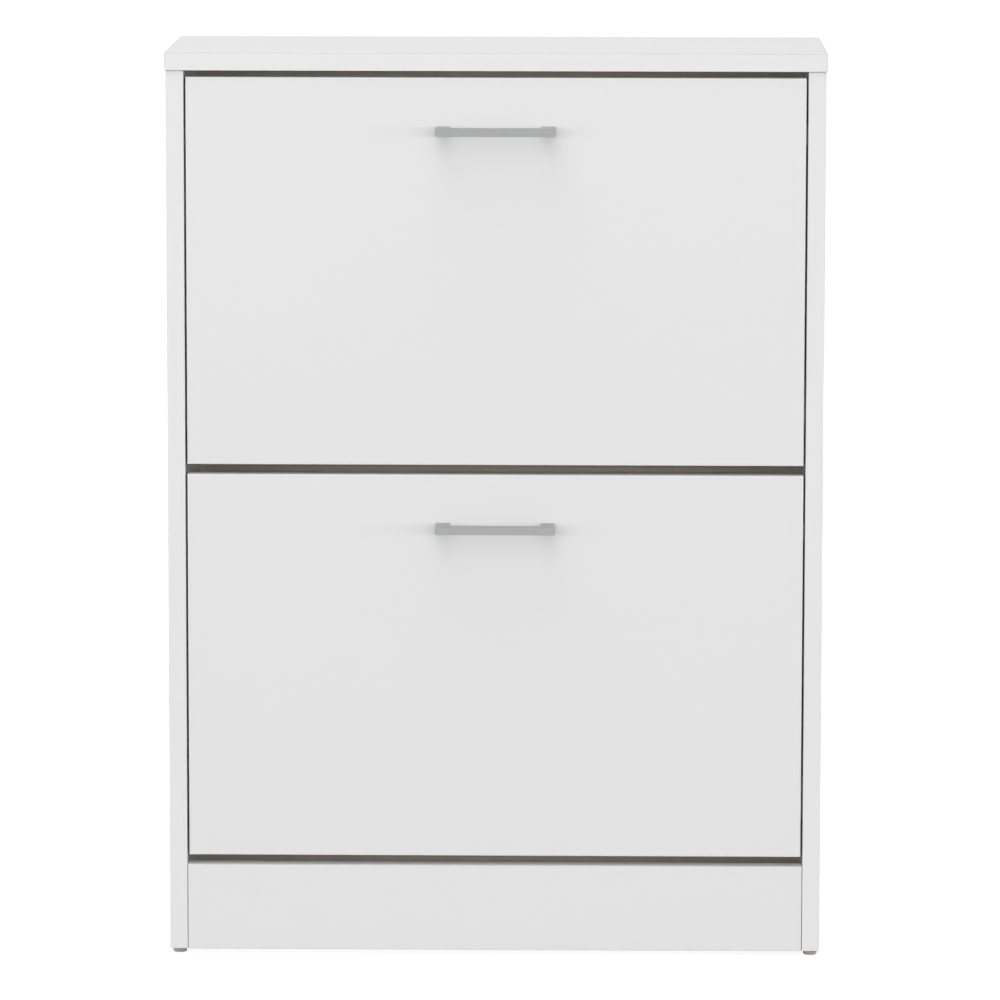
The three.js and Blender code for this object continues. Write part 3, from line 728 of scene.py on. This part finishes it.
def screws():
    """Every screw of the flaps: rack screws and handle screws, heads facing the rear."""
    meshes = {}
    for kind in ("top_rack", "handle"):
        low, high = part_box(f"lower_left_{kind}_screw")
        radius = (high.x - low.x) / 2
        meshes[kind] = screw_mesh(radius, SCREW_HEAD, radius / 2, high.y - low.y - SCREW_HEAD)
    meshes["lower_rack"] = meshes["top_rack"]
    to_rear = Matrix.Rotation(math.radians(-90), 4, "X")
    for level in LEVELS:
        for side in SIDES:
            for turn, kind in enumerate(("handle", "lower_rack", "top_rack")):
                node = f"{level}_{side}_{kind}_screw"
                seat = centre_of(node)
                seat.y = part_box(node)[1].y - SCREW_HEAD
                spin = Matrix.Rotation(math.radians(FIRST_TURN + NEXT_TURN * turn), 4, "Z")
                place = Matrix.Translation(seat) @ to_rear @ spin
                obj = add_copy(f"{node}_threaded", meshes[kind], place)
                finish_piece(obj, f"{level}_flap", node)


def cam_mesh(radius, depth):
    """A cam: rim over the pocket's edge, dished face with a cross recess, and a worm groove."""
    rim = radius + CAM_RIM
    profile = [
        (0, -depth), (radius * 0.86, -depth), (radius, -depth + 1 * MM), (radius, -depth * 0.72),
        (radius * 0.84, -depth * 0.66), (radius * 0.84, -depth * 0.36), (radius, -depth * 0.3),
        (radius, 0), (rim, 0), (rim + 0.1 * MM, 0.12 * MM), (rim - 0.1 * MM, 0.3 * MM),
        (rim - CAM_RIM, 0.36 * MM), (radius * 0.8, 0.3 * MM), (radius * 0.74, -0.4 * MM),
        (radius * 0.5, -0.5 * MM), (radius * 0.46, -CAM_DISH), (0, -CAM_DISH),
    ]
    bm = bmesh.new()
    add_lathe(bm, profile, segments=56)
    cross = cross_cutter(reach=0.82 * radius, width=0.17 * radius, top=-CAM_DISH, depth=CAM_RECESS)
    return recessed_mesh("cam", bm, cross, math.radians(35))


def cam_locks():
    """Every cam, tightened to about the same turn."""
    nodes = [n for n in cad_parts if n.endswith("_cam_lock")]
    low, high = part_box("plinth_left_cam_lock")
    mesh = cam_mesh((high.z - low.z) / 2, high.y - low.y)
    for turn, node in enumerate(sorted(nodes)):
        centre, facing, _ = cam_place(node)
        spin = Matrix.Rotation(math.radians(CAM_TURN + CAM_SPREAD * math.sin(2.3 * turn)), 4, "Z")
        obj = add_copy(f"{node}_cam", mesh, facing_place(centre, facing) @ spin)
        finish_piece(obj, "carcass", node)


# ---- Handles, glides and fittings ----


def handle(level):
    """A flat bow: square feet, rounded inner corners, all edges softened."""
    node = f"{level}_handle"
    low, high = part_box(node)
    half, rear = high.x, high.y
    foot = half - HANDLE_FOOT
    outer = HANDLE_OUTER_RADIUS
    outer_y = low.y + outer
    inner = HANDLE_INNER_RADIUS
    inner_y = low.y + HANDLE_BAR_DEPTH + inner
    outline = [(-half, rear)]
    outline += arc((-half + outer, outer_y), outer, 180, 270, 5)
    outline += arc((half - outer, outer_y), outer, 270, 360, 5)
    outline += [(half, rear), (foot, rear)]
    outline += arc((foot - inner, inner_y), inner, 0, -90, 9)
    outline += arc((-foot + inner, inner_y), inner, -90, -180, 9)
    outline += [(-foot, rear)]
    bm = bmesh.new()
    add_prism(bm, outline, low.z, high.z)
    bevel(bm, sharp_edges(bm, 40), HANDLE_EDGE, segments=4)
    obj = mesh_object(f"{node}_bow", bm, ("handle",), math.radians(40))
    weigh_normals(obj)
    finish_piece(obj, f"{level}_flap", node)


def glide_mesh(radius, board_under, height):
    """A glide from its softened sole to the tip of its peg; board_under is where the board begins."""
    shoulder = board_under - GAP
    sole = radius - GLIDE_CHAMFER
    peg = GLIDE_PEG_RADIUS
    profile = [
        (0, 0), (sole - 0.5 * MM, 0), (sole, 0.08 * MM), (sole + 0.5 * MM, 0.4 * MM),
        (radius - 0.05 * MM, GLIDE_CHAMFER), (radius, GLIDE_CHAMFER + 0.3 * MM),
        (radius, shoulder - 0.2 * MM), (radius - 0.2 * MM, shoulder),
        (peg, shoulder), (peg, height - 1 * MM), (0.6 * peg, height), (0, height),
    ]
    bm = bmesh.new()
    add_lathe(bm, profile, segments=56)
    return bm


def glides():
    """The floor glides, with their pegs in the side panels."""
    for end in ("front", "rear"):
        for side in SIDES:
            node = f"{end}_{side}_glide"
            low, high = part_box(node)
            bm = glide_mesh((high.x - low.x) / 2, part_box(f"{side}_side_panel")[0].z, high.z)
            obj = mesh_object(f"{node}_foot", bm, ("glide",), math.radians(30))
            obj.location = Vector(((low.x + high.x) / 2, (low.y + high.y) / 2, low.z))
            finish_piece(obj, "carcass", node)


def soften(node, width):
    """A carried-over plastic part: its facets merged, its edges rounded, its finish set."""
    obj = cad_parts[node]
    obj.data.materials.clear()
    obj.data.materials.append(MATERIAL["fitting"])
    merge = obj.modifiers.new("merge_facets", "DECIMATE")
    merge.decimate_type = "DISSOLVE"
    merge.angle_limit = math.radians(1)
    edge = obj.modifiers.new("soft_edges", "BEVEL")
    edge.width = width
    edge.segments = 2
    edge.limit_method = "ANGLE"
    edge.angle_limit = math.radians(40)


def stop_screws():
    """The screw that holds each flap stop to its side panel."""
    radius = STOP_SCREW_RADIUS
    mesh = screw_mesh(radius, STOP_SCREW_HEAD, radius / 2, STOP_SCREW_LENGTH)
    spin = Matrix.Rotation(STOP_SCREW_TURN, 4, "Z")
    for level in LEVELS:
        for side, sign in SIDES.items():
            stop = f"{level}_{side}_flap_stop"
            low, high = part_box(stop)
            seat = centre_of(stop)
            seat.x = high.x if sign < 0 else low.x
            place = facing_place(seat, Vector((-sign, 0, 0))) @ spin
            obj = add_copy(f"{level}_{side}_flap_stop_screw", mesh, place)
            finish_piece(obj, "carcass")


def fittings():
    """The moulded parts, which keep the frame's shapes."""
    for level in LEVELS:
        for side in SIDES:
            soften(f"{level}_{side}_rack_plate", PLATE_EDGE)
            soften(f"{level}_{side}_pivot_bracket", BRACKET_EDGE)
            soften(f"{level}_{side}_flap_stop", STOP_EDGE)


# ---- Flaps ----


def flap_panel(level):
    """The facing wraps round the front arrises in one piece; its trimmed edge shows at the rear."""
    node = f"{level}_flap_panel"
    low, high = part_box(node)
    bm = bmesh.new()
    add_box(bm, low, high)
    at_rear = {v for v in bm.verts if v.co.y > (low.y + high.y) / 2}
    rear = [e for e in bm.edges if all(v in at_rear for v in e.verts)]
    front = [e for e in bm.edges if not any(v in at_rear for v in e.verts)]
    bevel(bm, rear, FLAP_TRIM, segments=1, material=1)
    bevel(bm, front, FLAP_RADIUS, segments=4)
    bm.normal_update()
    for f in bm.faces:
        # The top, bottom and side faces take the band, whose paler level paints light onto the strips seen
        # in the shaded gaps
        if abs(f.normal.y) < 0.1:
            f.material_index = 2
    obj = mesh_object(f"{node}_board", bm, ("white", "trim", "band"), math.radians(60))
    weigh_normals(obj)
    finish_piece(obj, f"{level}_flap", node)


def slanted_frame(node):
    """Place and size of a board that leans: x along its width, y through it, z up its slope."""
    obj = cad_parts[node]
    ends = {(round(v.co.y, 6), round(v.co.z, 6)) for v in obj.data.vertices}
    corners = [Vector(end) for end in ends]
    lowest = min(corners, key=lambda c: c.y + 0.2 * c.x)
    others = sorted((c for c in corners if c != lowest), key=lambda c: (c - lowest).length)
    thick, long_side = others[0] - lowest, others[1] - lowest
    up = Vector((0, long_side.x, long_side.y)).normalized()
    across = Vector((0, thick.x, thick.y)).normalized()
    place = Matrix((across.cross(up), across, up)).transposed().to_4x4()
    place.translation = centre_of(node)
    low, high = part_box(node)
    return place, Vector((high.x - low.x, thick.length, long_side.length))


def rack(level):
    """The rack's three boards, banded along their upper edges."""
    for name in ("base", "divider", "rear_board"):
        node = f"{level}_rack_{name}"
        place, size = slanted_frame(node)
        raw = ("-x", "+x", "-z")
        board(node, f"{level}_flap", ("+z",), raw=raw, face="rack", place=place, size=size)


# ---- Studio ----


def camera():
    data = bpy.data.cameras.new("camera")
    data.lens = CAMERA_LENS
    data.sensor_width = SENSOR_WIDTH
    data.clip_end = 100
    obj = bpy.data.objects.new("camera", data)
    obj.location = CAMERA_PLACE
    yaw = Matrix.Rotation(math.radians(CAMERA_YAW), 4, "Z")
    pitch = Matrix.Rotation(math.radians(90 - CAMERA_PITCH), 4, "X")
    roll = Matrix.Rotation(math.radians(CAMERA_ROLL), 4, "Z")
    obj.rotation_euler = (yaw @ pitch @ roll).to_euler()
    bpy.context.scene.collection.objects.link(obj)
    bpy.context.scene.camera = obj


def light(name, kind, place, power):
    """A lamp aimed at the cabinet, which isn't itself seen."""
    data = bpy.data.lights.new(name, kind)
    data.energy = power
    obj = bpy.data.objects.new(name, data)
    obj.location = place
    obj.rotation_mode = "QUATERNION"
    obj.rotation_quaternion = (MIDDLE - Vector(place)).to_track_quat("-Z", "Y")
    obj.visible_camera = False
    obj.visible_glossy = False
    bpy.context.scene.collection.objects.link(obj)
    return data


def stage_piece(name, bm, material, seen):
    """Part of the studio: either seen by the camera, or only lighting the cabinet."""
    obj = mesh_object(name, bm, ())
    obj.data.materials.append(material)
    obj.visible_camera = seen
    obj.visible_glossy = seen
    obj.visible_diffuse = not seen
    obj.visible_shadow = not seen


def glowing(name, glow, level):
    """A plain surface that also glows, so that shadows on it stay faint."""
    s = Shader(name, 0.9, colour=grey(level), specular=0.0)
    s.shader.inputs["Emission Color"].default_value = (1, 1, 1, 1)
    s.shader.inputs["Emission Strength"].default_value = glow
    return s.material


def flat(size, height):
    bm = bmesh.new()
    bmesh.ops.create_grid(bm, x_segments=1, y_segments=1, size=size)
    bmesh.ops.translate(bm, vec=(0, 0, height), verts=bm.verts)
    return bm


def shaded_floor():
    """The floor inside the cabinet, which doesn't glow and so stays in the cabinet's shadow."""
    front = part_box("plinth_board")[1].y + SHADE_INSET
    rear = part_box("bottom_rear_rail")[1].y
    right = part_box("right_side_panel")[0].x
    bm = bmesh.new()
    corners = [(-right, front), (right, front), (right, rear), (-right, rear)]
    bm.faces.new([bm.verts.new((x, y, SHADE_HEIGHT)) for x, y in corners])
    return bm


def cyclorama():
    """A white floor and backdrop, and the dimmer floor whose bounced light reaches the cabinet."""
    inside = glowing("shaded_floor", 0.0, SHADE_GREY)
    stage_piece("studio_floor_inside", shaded_floor(), inside, seen=True)
    pale = glowing("pale_floor", FLOOR_GLOW, FLOOR_GREY)
    stage_piece("studio_floor", flat(STAGE_SIZE, 0), pale, seen=True)
    bounce = glowing("bounce_floor", 0.0, BOUNCE_GREY)
    stage_piece("studio_bounce", flat(STAGE_SIZE, -BOUNCE_DROP), bounce, seen=False)
    dome = bmesh.new()
    bmesh.ops.create_uvsphere(dome, u_segments=48, v_segments=24, radius=STAGE_SIZE)
    stage_piece("studio_backdrop", dome, glowing("pale_backdrop", 1.0, 0.0), seen=True)


def sky():
    world = bpy.data.worlds.new("studio")
    world.use_nodes = True
    background = world.node_tree.nodes["Background"]
    background.inputs["Color"].default_value = (1, 1, 1, 1)
    background.inputs["Strength"].default_value = SKY
    bpy.context.scene.world = world


def lamps():
    key = light("key", "SUN", MIDDLE + KEY_FROM, KEY_STRENGTH)
    key.angle = math.radians(KEY_ANGLE)
    for name, x, length, power in STRIP_LAMPS:
        strip = light(name, "AREA", (x, STRIP_Y, STRIP_Z), power)
        strip.shape = "RECTANGLE"
        strip.size = length
        strip.size_y = STRIP_HEIGHT
    light("overhead", "AREA", OVERHEAD_PLACE, OVERHEAD_POWER).size = OVERHEAD_SIZE
    for name, place, power in FILL_LAMPS:
        light(name, "AREA", place, power).size = FILL_SIZE


def studio():
    bpy.context.scene.view_settings.view_transform = "Standard"
    sky()
    cyclorama()
    lamps()


# ---- Putting it together ----

carcass_boards()
back_panel("lower_back_panel")
back_panel("upper_back_panel")
joiner()
cam_locks()
glides()
fittings()
for level in LEVELS:
    flap_panel(level)
    rack(level)
    handle(level)
screws()
stop_screws()
camera()
studio()
